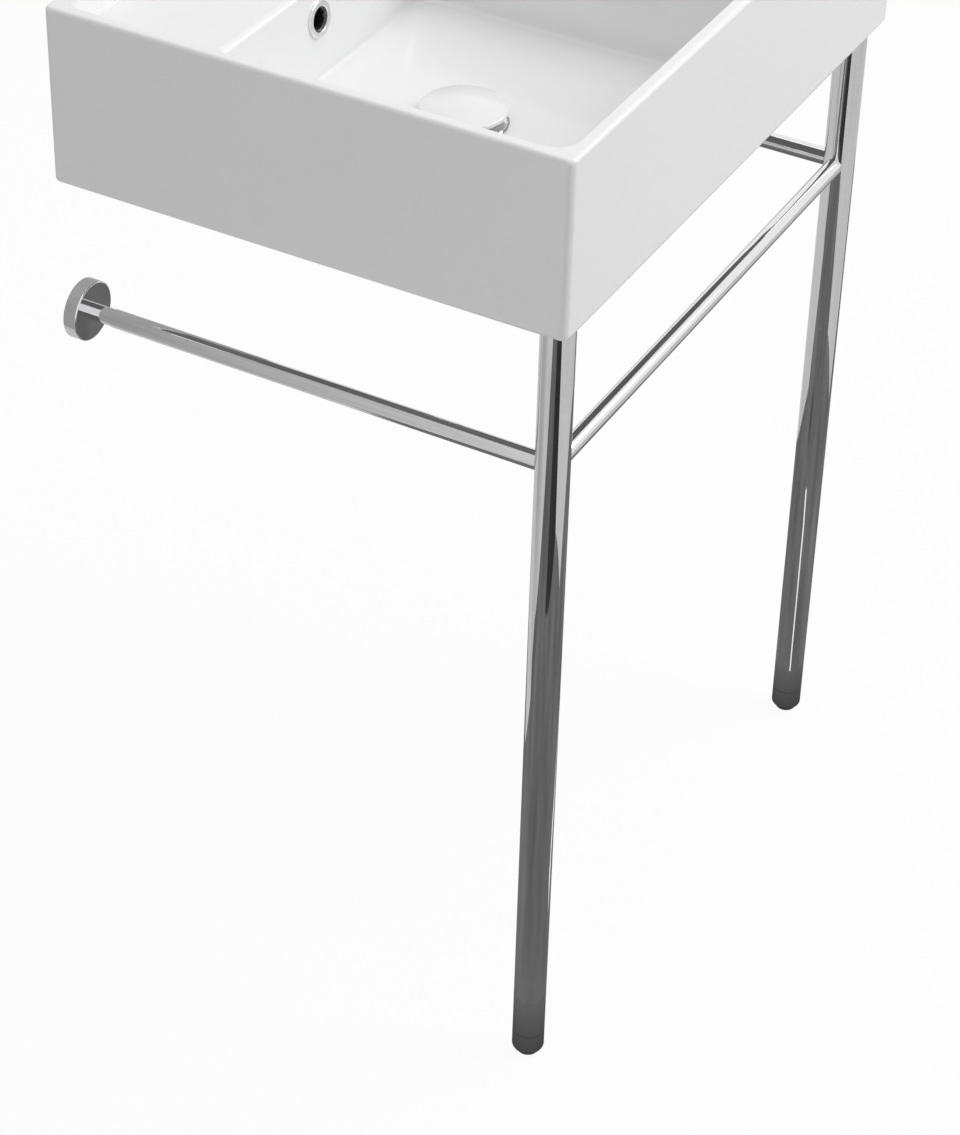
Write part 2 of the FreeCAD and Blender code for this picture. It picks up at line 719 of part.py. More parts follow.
def spigot_screw(side):
    at = V(side * leg_x, -screw_gap, rail_z)
    head = rod(at, TO_ROOM, spigot_screw_head, spigot_screw_head_r)
    shank = rod(at, TO_ROOM, spigot_screw_length, spigot_screw_r)
    return head.fuse(shank).removeSplitter()


def rosette_set_screw(side):
    start = V(side * leg_x, -plate_thickness / 2, rail_z - rosette_r + travel_gap)
    screw = rod(start, UP, set_screw_length - travel_gap, set_screw_r)
    return screw.cut(hexagon(start, UP, set_screw_r, set_screw_r))


# ---- wall fixings ----------------------------------------------------------------------------
def wall_bolt(side):
    """A hanger bolt: wall thread and room thread, with a short neck between them at the wall's face."""
    at = V(side * bolt_spacing / 2, 0, 0)
    room_thread = rod(at, TO_ROOM, wall_bolt_in_room, wall_bolt_r)
    wall_thread = rod(at, TO_WALL, wall_bolt_in_wall, wall_bolt_r)
    neck = pipe(at + V(0, -wall_bolt_neck / 2, 0), TO_WALL, wall_bolt_neck, wall_bolt_r, wall_bolt_neck_r)
    return room_thread.fuse(wall_thread).removeSplitter().cut(neck)


def wall_bolt_sleeve(side):
    at = V(side * bolt_spacing / 2, 0, 0)
    sleeve = rod(at, TO_ROOM, -sleeve_front, bolt_hole_r - press_gap)
    flange = rod(at + V(0, sleeve_front, 0), TO_ROOM, sleeve_flange, sleeve_flange_r)
    hole = rod(at + V(0, 1, 0), TO_ROOM, 2 * ceramic_wall + bolt_pad_height, wall_bolt_r + screw_gap)
    return sleeve.fuse(flange).removeSplitter().cut(hole)


def wall_bolt_washer(side):
    at = V(side * bolt_spacing / 2, sleeve_front - sleeve_flange, 0)
    return pipe(at, TO_ROOM, bolt_washer_thickness, bolt_washer_r, wall_bolt_r + screw_gap)


def wall_bolt_nut(side):
    at = V(side * bolt_spacing / 2, sleeve_front - sleeve_flange - bolt_washer_thickness, 0)
    nut = hexagon(at, TO_ROOM, bolt_nut_thickness, bolt_nut_across_flats)
    return nut.cut(rod(at + V(0, 1, 0), TO_ROOM, bolt_nut_thickness + 2, wall_bolt_r + screw_gap))


# ---- all nodes -------------------------------------------------------------------------------
def main():
    os.makedirs("parts", exist_ok=True)
    save("ceramic_basin", ceramic_basin())
    for make in (overflow_ring, overflow_clip, waste_body, waste_backnut, waste_tailpiece,
                 click_cartridge, click_spring, click_plunger, cap_carrier, drain_cap, front_rail):
        save(make.__name__, make())
    save("waste_gasket", washer(flange_r - loose_gap, hub_r + screw_gap, gasket_top, gasket_thickness))
    save("waste_washer", washer(waste_washer_r, waste_tube_r + screw_gap, drain_boss_bottom,
                                waste_washer_thickness))
    save("tailpiece_washer", washer(waste_tube_r, waste_tube_bore_r, waste_bottom,
                                    tailpiece_washer_thickness))
    save("cap_seal", washer(carrier_r - loose_gap, carrier_hub_r + press_gap, carrier_under,
                            seal_thickness))
    for name, side in SIDES.items():
        for make in (leg_tube, leg_top_plug, leg_stud, leg_washer, leg_socket, joint_block, foot_ferrule,
                     foot_pad, foot_stud, side_rail, rail_spigot, rosette_plate, rosette_cover):
            save(name + "_" + make.__name__, make(side))
    for make in (wall_bolt, wall_bolt_sleeve, wall_bolt_washer, wall_bolt_nut, spigot_screw,
                 rosette_set_screw):
        save(make.__name__ + "s", Part.makeCompound([make(side) for side in SIDES.values()]))
    ends = [(side, way) for side in SIDES.values() for way in rail_ways(side)]
    for make in (rail_stud, rail_end_plug):
        save(make.__name__ + "s", Part.makeCompound([make(side, way) for side, way in ends]))


main()
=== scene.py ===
# %% [markdown]
# # A console sink on two chrome legs
#
# The solid model of the sink is loaded as a fixed frame, in metres, with +Z up and the wall at y = 0.
# Its parts already have the right shape, so this lesson gives them finishes, adds the fine shapes that
# solids leave out, such as screw threads, and then sets up the floor, the lights and the camera.

# %% Load the frame
import json
import math

import bpy
import numpy as np
from mathutils import Matrix, Vector


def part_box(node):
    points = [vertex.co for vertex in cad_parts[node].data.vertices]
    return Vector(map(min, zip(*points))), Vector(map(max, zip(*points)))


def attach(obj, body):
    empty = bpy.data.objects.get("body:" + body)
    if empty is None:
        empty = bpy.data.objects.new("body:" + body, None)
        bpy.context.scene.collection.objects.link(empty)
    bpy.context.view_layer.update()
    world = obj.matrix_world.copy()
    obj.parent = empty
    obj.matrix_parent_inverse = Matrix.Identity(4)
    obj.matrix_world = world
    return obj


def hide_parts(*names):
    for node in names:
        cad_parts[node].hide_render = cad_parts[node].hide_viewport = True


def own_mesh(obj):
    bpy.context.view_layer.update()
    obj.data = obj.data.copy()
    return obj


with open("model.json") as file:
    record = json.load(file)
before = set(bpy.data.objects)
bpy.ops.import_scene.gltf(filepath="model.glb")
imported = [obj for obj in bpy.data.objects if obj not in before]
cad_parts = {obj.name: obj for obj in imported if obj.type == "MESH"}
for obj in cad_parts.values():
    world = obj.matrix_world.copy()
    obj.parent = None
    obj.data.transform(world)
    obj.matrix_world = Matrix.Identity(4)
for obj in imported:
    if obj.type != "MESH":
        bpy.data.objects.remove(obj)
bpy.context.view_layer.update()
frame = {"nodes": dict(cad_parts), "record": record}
nodes = frame["nodes"]

# %% [markdown]
# ## Places that the rest of the lesson needs
#
# Every place is read from the frame, so nothing has to be fitted by eye. A node's box gives its axis: a leg
# is round and upright, so the middle of its box is a point on its centre line.

# %% Read the places
def middle(node_name):
    """The middle of a node's box."""
    low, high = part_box(node_name)
    return (low + high) / 2


floor_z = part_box("left_foot_pad")[0].z
basin_low, basin_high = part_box("ceramic_basin")
drain_axis = middle("waste_body")
leg_axes = {side: middle(side + "_leg_tube") for side in ("left", "right")}
print("floor at", round(floor_z, 4), "drain at", [round(v, 4) for v in drain_axis])

# %% [markdown]
# ## Helpers for node materials
#
# A finish is a small network of nodes. Writing each link by hand is long, so `node` makes one node, sets
# its values and joins its inputs in one call. An input given as another node's socket is linked, and any
# other value is written on the socket.

# %% One node and one material
def feed(tree, socket, value):
    """Links a socket to another node's socket, or writes a plain value on it."""
    if isinstance(value, bpy.types.NodeSocket):
        tree.links.new(value, socket)
    else:
        socket.default_value = value


def node(tree, kind, inputs=None, **settings):
    """Adds a node; inputs maps a socket's name or number to a value or to another node's socket."""
    made = tree.nodes.new(kind)
    for name, value in settings.items():
        setattr(made, name, value)
    for name, value in (inputs or {}).items():
        feed(tree, made.inputs[name], value)
    return made


def new_material(name):
    """An empty node material with its output node."""
    material = bpy.data.materials.new(name)
    material.use_nodes = True
    tree = material.node_tree
    tree.nodes.clear()
    return material, tree, node(tree, "ShaderNodeOutputMaterial")


# %% [markdown]
# ## Sums on values
#
# A mask or a roughness is a number that changes over a surface. Each sum on such numbers is a Math or a Map
# Range node. These helpers return the result's socket, so one sum can go straight into the next.

# %% Sums and masks
def math_node(tree, operation, a, b=0.0):
    """One sum, product, power or comparison of two values."""
    return node(tree, "ShaderNodeMath", {0: a, 1: b}, operation=operation).outputs[0]


def ramp(tree, value, low, high, to_low=0.0, to_high=1.0):
    """Maps a value from low..high to to_low..to_high and clamps it."""
    inputs = {"Value": value, "From Min": low, "From Max": high, "To Min": to_low, "To Max": to_high}
    return node(tree, "ShaderNodeMapRange", inputs, clamp=True).outputs["Result"]


def between(tree, value, low, high):
    """1 where a value lies from low to high, and 0 elsewhere."""
    above = math_node(tree, "GREATER_THAN", value, low)
    return math_node(tree, "MULTIPLY", above, math_node(tree, "LESS_THAN", value, high))


def blend_colours(tree, fac, a, b):
    """A colour between a and b: a where fac is 0, and b where it is 1."""
    mix = node(tree, "ShaderNodeMix", {"Factor": fac}, data_type="RGBA")
    for name, value in (("A", a), ("B", b)):
        socket = [s for s in mix.inputs if s.name == name and s.type == "RGBA"][0]
        feed(tree, socket, value if isinstance(value, bpy.types.NodeSocket) else (*value, 1.0))
    return [s for s in mix.outputs if s.type == "RGBA"][0]


# %% [markdown]
# ## A shared effect: uneven gloss
#
# No real surface is equally shiny all over: glaze pools, and chrome keeps faint marks of handling and
# wiping. The nodes for that could be repeated in every material, but one group with its own inputs keeps a
# single recipe for all. It mixes a wide and a fine noise into a mask, turns the mask into a roughness
# between two values, and turns the wide noise into a very shallow bump.

# %% Make and place a group
def new_group(name, inputs, outputs):
    """A shader node group with float inputs, given as name: default, and outputs given as name: type."""
    group = bpy.data.node_groups.new(name, "ShaderNodeTree")
    for socket, default in inputs.items():
        made = group.interface.new_socket(name=socket, in_out="INPUT", socket_type="NodeSocketFloat")
        made.default_value = default
    for socket, kind in outputs.items():
        group.interface.new_socket(name=socket, in_out="OUTPUT", socket_type=kind)
    return group, node(group, "NodeGroupInput"), node(group, "NodeGroupOutput")


def use_group(tree, group, values):
    """Places a node group in a material with its own values."""
    return node(tree, "ShaderNodeGroup", values, node_tree=group)


# %% The uneven gloss group
def uneven_gloss(clean=0.12, marked=0.40):
    """Mask: wide times fine noise, from clean to marked. Roughness: from smooth to rough by the mask."""
    group, given, result = new_group(
        "uneven_gloss",
        {"Wide Scale": 6.0, "Fine Scale": 90.0, "Smooth": 0.05, "Rough": 0.12, "Bump": 0.02, "Depth": 0.001},
        {"Mask": "NodeSocketFloat", "Roughness": "NodeSocketFloat", "Normal": "NodeSocketVector"})
    place = node(group, "ShaderNodeTexCoord").outputs["Object"]
    wide = node(group, "ShaderNodeTexNoise",
                {"Vector": place, "Scale": given.outputs["Wide Scale"], "Detail": 2.0}).outputs["Fac"]
    fine = node(group, "ShaderNodeTexNoise",
                {"Vector": place, "Scale": given.outputs["Fine Scale"], "Detail": 4.0}).outputs["Fac"]
    mask = ramp(group, math_node(group, "MULTIPLY", wide, fine), clean, marked)
    spread = math_node(group, "SUBTRACT", given.outputs["Rough"], given.outputs["Smooth"])
    rough = math_node(group, "ADD", given.outputs["Smooth"], math_node(group, "MULTIPLY", spread, mask))
    bump = node(group, "ShaderNodeBump", {"Strength": given.outputs["Bump"],
                                          "Distance": given.outputs["Depth"], "Height": wide})
    group.links.new(mask, result.inputs["Mask"])
    group.links.new(rough, result.inputs["Roughness"])
    group.links.new(bump.outputs["Normal"], result.inputs["Normal"])
    return group


gloss_group = uneven_gloss()
print("group:", gloss_group.name, [s.name for s in gloss_group.interface.items_tree])

# %% [markdown]
# ## Where the basin has no glaze
#
# The wall side and the underside's foot are wiped clean before firing, because glaze would stick to the kiln
# shelf, so there the surface is matt and a little creamy. The narrow duct behind the overflow is made dull
# and unglazed, and its colour is painted near black as the shade that fills it, since little light gets in.
# Both could be materials of their own on chosen faces, but the basin is one fired piece, so masks worked out
# from the place on it are simpler, and a wiped edge can be soft.

# %% Masks on the basin
wipe_edge = 0.0002
duct_half_width, duct_front, duct_back, duct_top = 0.0145, 0.007, 0.016, 0.012
clip_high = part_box("overflow_clip")[1]
duct_low = (drain_axis.x - duct_half_width, clip_high.y - duct_front, basin_low.z)
duct_high = (drain_axis.x + duct_half_width, clip_high.y + duct_back, clip_high.z + duct_top)


def bare_masks(tree, spot):
    """1 on the wiped wall side or foot, and 1 inside the duct's box, where shade is painted; the first fades
    out over wipe_edge.
    """
    place = node(tree, "ShaderNodeSeparateXYZ", {0: spot})
    wall_side = ramp(tree, place.outputs["Y"], -2 * wipe_edge, -wipe_edge)
    foot = ramp(tree, place.outputs["Z"], basin_low.z + 2 * wipe_edge, basin_low.z + wipe_edge)
    # The duct's box mask marks where the painted shade goes.
    duct = 1.0
    for i in range(3):
        inside = between(tree, place.outputs[i], duct_low[i], duct_high[i])
        duct = math_node(tree, "MULTIPLY", duct, inside)
    return math_node(tree, "MAXIMUM", wall_side, foot), duct


print("bare clay below z =", round(basin_low.z + 2 * wipe_edge, 4), "duct's top at", round(duct_high[2], 4))

# %% [markdown]
# ## Glazed ceramic
#
# The basin is fired clay under a thick white glaze. One glossy layer would do from afar, but glaze is a
# clear layer over a softer white body, so the Principled shader gets a coat, and its edges shine like glass.

# %% The glaze
coat_weight, bare_roughness = 0.5, 0.75
clay_tones = ((0.74, 0.71, 0.65), (0.80, 0.77, 0.72))
# Painted shade: the duct's inside is coloured near black because little light gets into it.
painted_duct_shade = (0.05, 0.048, 0.045)


def finish_glaze(name, white=(0.865, 0.866, 0.867), bare_back=True):
    """White glaze with a clear coat. With bare_back it gives way to clay where the basin's masks say so."""
    material, tree, output = new_material(name)
    gloss = use_group(tree, gloss_group, {"Wide Scale": 9.0, "Fine Scale": 60.0, "Smooth": 0.10,
                                          "Rough": 0.20, "Bump": 0.05, "Depth": 0.0006})
    cloudy = [0.985 * v for v in white]
    colour = blend_colours(tree, gloss.outputs["Mask"], white, cloudy)
    rough, coat = gloss.outputs["Roughness"], coat_weight
    if bare_back:
        spot = node(tree, "ShaderNodeTexCoord").outputs["Object"]
        bare, duct = bare_masks(tree, spot)
        grain = node(tree, "ShaderNodeTexNoise",
                     {"Vector": spot, "Scale": 400.0, "Detail": 3.0}).outputs["Fac"]
        colour = blend_colours(tree, bare, colour, blend_colours(tree, grain, *clay_tones))
        # Inside the duct the colour turns to the painted shade.
        colour = blend_colours(tree, duct, colour, painted_duct_shade)
        bare = math_node(tree, "MAXIMUM", bare, duct)
        rough = math_node(tree, "MAXIMUM", rough, math_node(tree, "MULTIPLY", bare, bare_roughness))
        coat = math_node(tree, "MULTIPLY", math_node(tree, "SUBTRACT", 1.0, bare), coat_weight)
    shader = node(tree, "ShaderNodeBsdfPrincipled", {
        "Base Color": colour, "Roughness": rough, "Normal": gloss.outputs["Normal"], "IOR": 1.5,
        "Coat Weight": coat, "Coat Roughness": 0.03, "Coat IOR": 1.5})
    tree.links.new(shader.outputs[0], output.inputs["Surface"])
    return material


glaze = finish_glaze("white glaze")
cap_glaze = finish_glaze("white cap gloss", bare_back=False)
print("glazes:", glaze.name, "and", cap_glaze.name)

# %% [markdown]
# ## The thread of the waste's tube
#
# Below the basin the waste's long tube is a fine screw all the way down. Its ridges could be modelled, but
# the tube already has its size from the solid, and the ridges are small, so they are a bump. The bump follows
# a helix: it is the place's height in pitches less its angle in turns, folded into a triangle wave.

# %% A thread as a bump
tube_core_r = 0.0200
tube_thread = {"axis": drain_axis, "low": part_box("waste_body")[0].z, "high": basin_low.z, "pitch": 0.002}


def helix_height(tree, axis, low, high, pitch):
    """A ridge's height, from 0 to half, outside the tube's core and between two levels; 0 elsewhere."""
    place = node(tree, "ShaderNodeSeparateXYZ", {0: node(tree, "ShaderNodeTexCoord").outputs["Object"]})
    across = math_node(tree, "SUBTRACT", place.outputs["X"], axis.x)
    along = math_node(tree, "SUBTRACT", place.outputs["Y"], axis.y)
    turns = math_node(tree, "DIVIDE", math_node(tree, "ARCTAN2", along, across), 2 * math.pi)
    pitches = math_node(tree, "DIVIDE", place.outputs["Z"], pitch)
    wave = math_node(tree, "PINGPONG", math_node(tree, "SUBTRACT", pitches, turns), 0.5)
    away_squared = math_node(tree, "ADD", math_node(tree, "MULTIPLY", across, across),
                             math_node(tree, "MULTIPLY", along, along))
    outside = math_node(tree, "GREATER_THAN", away_squared, tube_core_r ** 2)
    here = math_node(tree, "MULTIPLY", outside, between(tree, place.outputs["Z"], low, high))
    return math_node(tree, "MULTIPLY", wave, here)


print("thread from", round(tube_thread["low"], 4), "to", round(tube_thread["high"], 4))

# %% [markdown]
# ## Polished chrome and the other metals
#
# Chrome is a mirror: nearly all of its look is what it reflects. A metallic shader with a very low
# roughness does that. Its colour is a cool light grey, and the shared gloss group adds faint wiping marks.
# Brass, zinc plate and spring wire differ only in colour and gloss, so one function makes them all.
#
# Dust gathers in the fine joint between a leg and its foot, and shade falls into its gap. A gap in the shape
# would be too thin to see, so a thin ring at that height is dull and painted dark instead: dust, and painted
# shade standing in for the gap.

# %% The metals
# The seam's tone is partly dust and partly painted shade of the joint's fine gap.
seam_half, seam_dust_and_shade_tone, dust_roughness = 0.00032, (0.06, 0.06, 0.06), 0.6


def finish_metal(name, colour, marked, smooth, rough, wide=7.0, fine=160.0, bump=0.02,
                 seam_z=None, thread=None):
    """Metal whose colour and gloss follow the mask, from colour and smooth to marked and rough.

    A seam at one height, painted dark as dust and shade, and a thread's bump are added if they are given.
    """
    material, tree, output = new_material(name)
    gloss = use_group(tree, gloss_group, {"Wide Scale": wide, "Fine Scale": fine, "Smooth": smooth,
                                          "Rough": rough, "Bump": bump, "Depth": 0.0002})
    tint = blend_colours(tree, gloss.outputs["Mask"], colour, marked)
    roughness, normal = gloss.outputs["Roughness"], gloss.outputs["Normal"]
    if seam_z is not None:
        place = node(tree, "ShaderNodeSeparateXYZ", {0: node(tree, "ShaderNodeTexCoord").outputs["Object"]})
        seam = between(tree, place.outputs["Z"], seam_z - seam_half, seam_z + seam_half)
        # The seam ring is painted dark: dust, and painted shade in the joint's gap.
        tint = blend_colours(tree, seam, tint, seam_dust_and_shade_tone)
        dull = math_node(tree, "MULTIPLY", seam, dust_roughness)
        roughness = math_node(tree, "MAXIMUM", roughness, dull)
    if thread is not None:
        ridge = helix_height(tree, **thread)
        normal = node(tree, "ShaderNodeBump", {"Strength": 1.0, "Distance": thread["pitch"], "Height": ridge,
                                               "Normal": normal}).outputs["Normal"]
    shader = node(tree, "ShaderNodeBsdfPrincipled", {"Metallic": 1.0, "Base Color": tint,
                                                     "Roughness": roughness, "Normal": normal})
    tree.links.new(shader.outputs[0], output.inputs["Surface"])
    return material


chrome_look = ((0.84, 0.84, 0.845), (0.79, 0.79, 0.80), 0.015, 0.06)
leg_joint_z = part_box("left_leg_tube")[0].z
chrome = finish_metal("polished chrome", *chrome_look)
leg_chrome = finish_metal("leg chrome", *chrome_look, seam_z=leg_joint_z)
waste_chrome = finish_metal("waste chrome", *chrome_look, thread=tube_thread)
brass = finish_metal("turned brass", (0.80, 0.62, 0.30), (0.62, 0.46, 0.20), 0.22, 0.42, fine=300.0, bump=0.1)
zinc = finish_metal("zinc plate", (0.66, 0.68, 0.70), (0.48, 0.49, 0.50), 0.25, 0.45, fine=300.0, bump=0.1)
wire = finish_metal("spring wire", (0.60, 0.60, 0.61), (0.45, 0.45, 0.46), 0.18, 0.32)
print("metals:", [metal.name for metal in (chrome, leg_chrome, waste_chrome, brass, zinc, wire)])

# %% [markdown]
# ## Rubber and plastics
#
# Seals, washers and foot pads are black rubber with a fine grain. The hidden sleeves are natural nylon, the
# click mechanism is grey moulded plastic, and the overflow's clip is black plastic. Each could be built by
# hand, but all come out of a mould, so they share one recipe with their own colours and gloss.

# %% The rubber and the plastics
def finish_moulded(name, colour, worn, smooth, rough, grain=500.0, bump=0.25):
    """Plastic or rubber: colour to worn over the gloss mask, and pores three times as fine as the grain."""
    material, tree, output = new_material(name)
    gloss = use_group(tree, gloss_group, {"Wide Scale": 25.0, "Fine Scale": grain, "Smooth": smooth,
                                          "Rough": rough, "Bump": 0.05, "Depth": 0.0003})
    tint = blend_colours(tree, gloss.outputs["Mask"], colour, worn)
    spot = node(tree, "ShaderNodeTexCoord").outputs["Object"]
    pores = node(tree, "ShaderNodeTexNoise",
                 {"Vector": spot, "Scale": 3 * grain, "Detail": 2.0}).outputs["Fac"]
    normal = node(tree, "ShaderNodeBump", {"Strength": bump, "Distance": 0.0001, "Height": pores,
                                           "Normal": gloss.outputs["Normal"]}).outputs["Normal"]
    shader = node(tree, "ShaderNodeBsdfPrincipled", {"Base Color": tint, "Normal": normal,
                                                     "Roughness": gloss.outputs["Roughness"]})
    tree.links.new(shader.outputs[0], output.inputs["Surface"])
    return material


rubber = finish_moulded("black rubber", (0.018, 0.018, 0.019), (0.05, 0.05, 0.05), 0.55, 0.8)
foot_rubber = finish_moulded("foot rubber", (0.03, 0.03, 0.032), (0.07, 0.07, 0.07), 0.45, 0.7)
nylon = finish_moulded("natural nylon", (0.80, 0.78, 0.71), (0.86, 0.85, 0.80), 0.35, 0.5, bump=0.1)
grey_plastic = finish_moulded("grey plastic", (0.20, 0.21, 0.22), (0.28, 0.29, 0.30), 0.32, 0.5)
black_plastic = finish_moulded("black plastic", (0.012, 0.012, 0.013), (0.03, 0.03, 0.03), 0.18, 0.35,
                               bump=0.1)
print("moulded:", [m.name for m in (rubber, foot_rubber, nylon, grey_plastic, black_plastic)])

# %% [markdown]
# ## Give every part its finish
#
# The record says which material slot each node uses, so one loop over it dresses the whole sink, and no node
# can be forgotten. The legs, their ferrules and the waste body get the chrome with their own detail.

# %% Dress the nodes
finishes = {
    "glazed_ceramic": glaze, "chrome": chrome, "white_cap": cap_glaze, "black_plastic": black_plastic,
    "grey_plastic": grey_plastic, "brass": brass, "rubber": rubber, "foot_rubber": foot_rubber,
    "nylon": nylon, "zinc_steel": zinc, "spring_steel": wire,
}
slot_of = {part["node"]: part["material_slot"] for part in frame["record"]["subparts"]}
special = {"waste_body": waste_chrome}
for side in ("left", "right"):
    special[side + "_leg_tube"] = leg_chrome
    special[side + "_foot_ferrule"] = leg_chrome
for name, part in nodes.items():
    part.data.materials.clear()
    part.data.materials.append(special.get(name, finishes[slot_of[name]]))
print("dressed", len(nodes), "nodes with", len(set(slot_of.values())), "finishes")

# %% [markdown]
# ## Surfaces made of rings
#
# A screw and a coil spring are both a row of rings of points. A Screw modifier could wind them, but its ends
# stay open. Here the points are one grid, with a ring in each row, so numpy works out every point at once,
# quads join each ring to the next, and one flat face closes each end.

# %% A closed surface from rings
def ring_surface(name, grid, material):
    """Joins point j of ring i to j + 1 and to ring i + 1. Rings are right-handed about the way onwards."""
    rings, around = grid.shape[:2]
    spot = np.arange(around)
    beside = (spot + 1) % around
    first = around * np.arange(rings - 1)[:, None]
    quads = np.stack([first + spot, first + beside, first + around + beside, first + around + spot], axis=-1)
    ends = [spot[::-1].tolist(), (around * (rings - 1) + spot).tolist()]
    faces = quads.reshape(-1, 4).tolist() + ends
    mesh = bpy.data.meshes.new(name)
    mesh.from_pydata(grid.reshape(-1, 3).tolist(), [], faces)
    mesh.polygons.foreach_set("use_smooth", [True] * (len(faces) - 2) + [False] * 2)
    mesh.materials.append(material)
    piece = bpy.data.objects.new(name, mesh)
    bpy.context.collection.objects.link(piece)
    print(name, "rings", rings, "faces", len(faces))
    return piece


# %% [markdown]
# ## Screws with real threads
#
# The solids of the wall bolts and of the feet's studs are plain cylinders. A real thread is a ridge that
# winds round the core, and it shows in the outline, so a bump wouldn't do. A screw is described as stretches,
# one after the other. Each stretch has a length, a number of rings and a rule for the radius, which depends
# on the angle round the axis, the place along the screw and the share of the stretch that is done.

# %% Radius rules
tip_share, core_share, flat = 0.08, 0.3, 0.2


def plain(length, r0, r1):
    """A smooth stretch: the radius is r0 + (r1 - r0) * share. Adding 0 * angle only makes it a full grid."""
    def radius(angle, along, share):
        return r0 + (r1 - r0) * share + 0 * angle
    return length, 2, radius


def threaded(length, crest_r, pitch, depth, point=0.0, per_pitch=8):
    """A thread: the crest's radius less the depth times a triangle wave with flats, one wave per pitch.

    The thread starts and ends in the root over one pitch, or narrows to a point over the length given.
    """
    def radius(angle, along, share):
        to_start, to_end = length * share, length * (1 - share)
        crest = crest_r * np.clip(to_end / point, tip_share, 1.0) if point else crest_r
        run_out = 0.0 if point else 1 - to_end / pitch
        fade = np.maximum(0.0, np.maximum(1 - to_start / pitch, run_out))
        phase = (along / pitch - angle / (2 * np.pi)) % 1.0
        groove = np.clip((1 + 2 * flat) * np.abs(2 * phase - 1) - flat, fade, 1.0)
        return np.maximum(crest - depth * groove, core_share * crest)
    return length, math.ceil(length / pitch * per_pitch), radius


def six_sided(length, across_flats, corner_r):
    """A hexagon: half its width over the cosine of the angle off a flat's middle, cut to corner_r.

    Adding 0 * share only makes it a full grid.
    """
    def radius(angle, along, share):
        off_middle = (angle + np.pi / 6) % (np.pi / 3) - np.pi / 6
        return np.minimum(across_flats / 2 / np.cos(off_middle), corner_r) + 0 * share
    return length, 2, radius


# %% A screw from its stretches
def screw(name, start, heading, stretches, around=48):
    """Each point is start + along * heading + radius * spoke; the spokes stand square to the heading."""
    heading = np.array(heading, dtype=float)
    off_axis = (0.3, 0.5, 0.8)
    side = np.cross(heading, off_axis)
    side /= np.linalg.norm(side)
    other = np.cross(heading, side)
    angle = np.linspace(0, 2 * np.pi, around, endpoint=False)
    spokes = np.outer(np.cos(angle), side) + np.outer(np.sin(angle), other)
    grids, done = [], 0.0
    for length, count, radius in stretches:
        share = np.linspace(0, 1, count)[:, None]
        along = done + share * length
        line = np.array(start) + along * heading
        grids.append(line[:, None] + radius(angle, along, share)[:, :, None] * spokes)
        done += length
    return ring_surface(name, np.concatenate(grids), zinc)


# %% [markdown]
# ## Wall bolts
#
# A hanger bolt has two different threads. The end in the room takes a nut, so its thread is fine. The end in
# the wall bites into a plug, so its thread is coarse and runs out to a point. A short plain neck parts them.
# The node holds both bolts in one box, so each bolt's axis lies one radius in from the box's end.

# %% Wall bolts
bolt_low, bolt_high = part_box("wall_bolts")
bolt_r = (bolt_high.z - bolt_low.z) / 2
bolt_z = (bolt_high.z + bolt_low.z) / 2
neck_half, neck_r, tip_length = 0.001, 0.86 * bolt_r, 0.010
nut_thread = {"pitch": 0.0015, "depth": 0.0009}
plug_thread = {"pitch": 0.0036, "depth": 0.0011}
for side, x in (("left", bolt_low.x + bolt_r), ("right", bolt_high.x - bolt_r)):
    piece = screw(side + "_wall_bolt_threads", (x, bolt_low.y, bolt_z), (0, 1, 0), [
        threaded(-bolt_low.y - neck_half, bolt_r, **nut_thread),
        plain(2 * neck_half, neck_r, neck_r),
        threaded(bolt_high.y - neck_half, bolt_r, **plug_thread, point=tip_length),
    ])
    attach(piece, "console")
    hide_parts("wall_bolts")

# %% [markdown]
# ## Studs of the levelling feet
#
# Each stud is an M10 screw with a hexagonal collar for a spanner. One turn moves it by one pitch, 1.5 mm,
# which is also how the turning and the travel of the foot are tied together in the motion model. The collar
# is three more stretches of the same screw: a chamfer, the six flats with their corners turned down, and
# another chamfer.

# %% Foot studs
stud_r, collar_flats, collar_height = 0.005, 0.014, 0.004
stud_thread = {"pitch": 0.0015, "depth": 0.0009}
collar_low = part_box("left_foot_pad")[1].z + 0.0001
collar_r, corner_r = collar_flats / 2, 0.97 * collar_flats / math.sqrt(3)
chamfer, chamfer_out, chamfer_in = 0.1 * collar_height, 0.92 * collar_r, 0.99 * collar_r
for side in ("left", "right"):
    stud_low, stud_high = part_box(side + "_foot_stud")
    axis = (stud_low + stud_high) / 2
    piece = screw(side + "_foot_stud_threads", (axis.x, axis.y, stud_low.z), (0, 0, 1), [
        threaded(collar_low - stud_low.z, stud_r, **stud_thread),
        plain(chamfer, chamfer_out, chamfer_in),
        six_sided(0.8 * collar_height, collar_flats, corner_r),
        plain(chamfer, chamfer_in, chamfer_out),
        threaded(stud_high.z - collar_low - collar_height, stud_r, **stud_thread),
    ])
    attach(piece, side + "_foot_stud_body")
    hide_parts(side + "_foot_stud")

# %% [markdown]
# ## The spring under the plunger
#
# A compression spring lies in a helix, with a closed turn at each end to sit flat. A bevelled curve could
# draw it, but would still have to be made a mesh, and a ring of points carried along the helix gives the same
# tube at once. The spring shortens when the cap is pressed.

